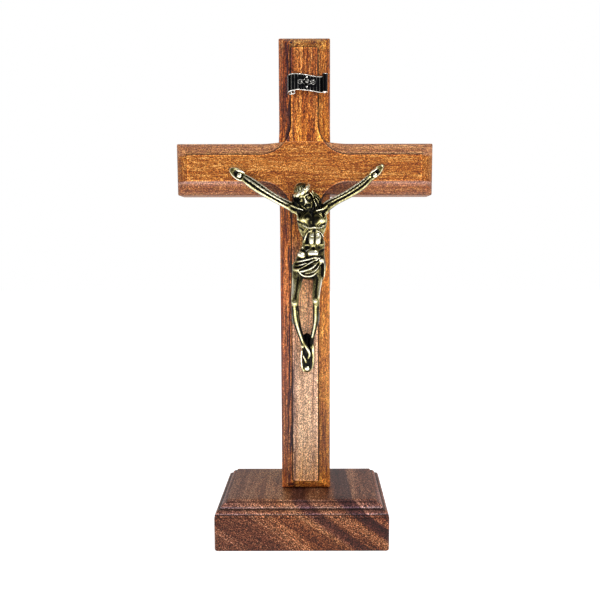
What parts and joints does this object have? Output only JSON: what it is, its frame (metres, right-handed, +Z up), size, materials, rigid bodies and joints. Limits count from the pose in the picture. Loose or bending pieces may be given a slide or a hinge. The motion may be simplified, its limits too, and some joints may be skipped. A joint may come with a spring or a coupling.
{
  "type": "standing wooden cross",
  "caption": "Standing cross of half-lapped boards with routed edges on a moulded block, carrying a cast metal figure and a small scroll, held by domed pins.",
  "frame": {"origin": "on the ground below the middle of the cross, half way through the block's depth", "axes": "+Z up the upright, +X along the crossbar to the viewer's right, -Y out of the front face"},
  "size_m": [0.126, 0.0534, 0.25],
  "materials": {
    "base_wood": "dark red-brown stain under satin varnish",
    "cross_wood": "warm orange-brown under satin varnish",
    "antique_brass": "antiqued: dark in the hollows, rubbed bright on the high points",
    "dark_metal": "near-black casting with bright rubbed edges",
    "screw_steel": "zinc plated"
  },
  "bodies": {
    "root": {"base_block": "base_wood", "upright": "cross_wood", "crossbar": "cross_wood", "base_screw": "screw_steel", "corpus": "antique_brass", "hand_nail_left": "antique_brass", "hand_nail_right": "antique_brass", "foot_nail": "antique_brass", "title_scroll": "dark_metal", "title_pin": "dark_metal"}
  },
  "joints": []
}
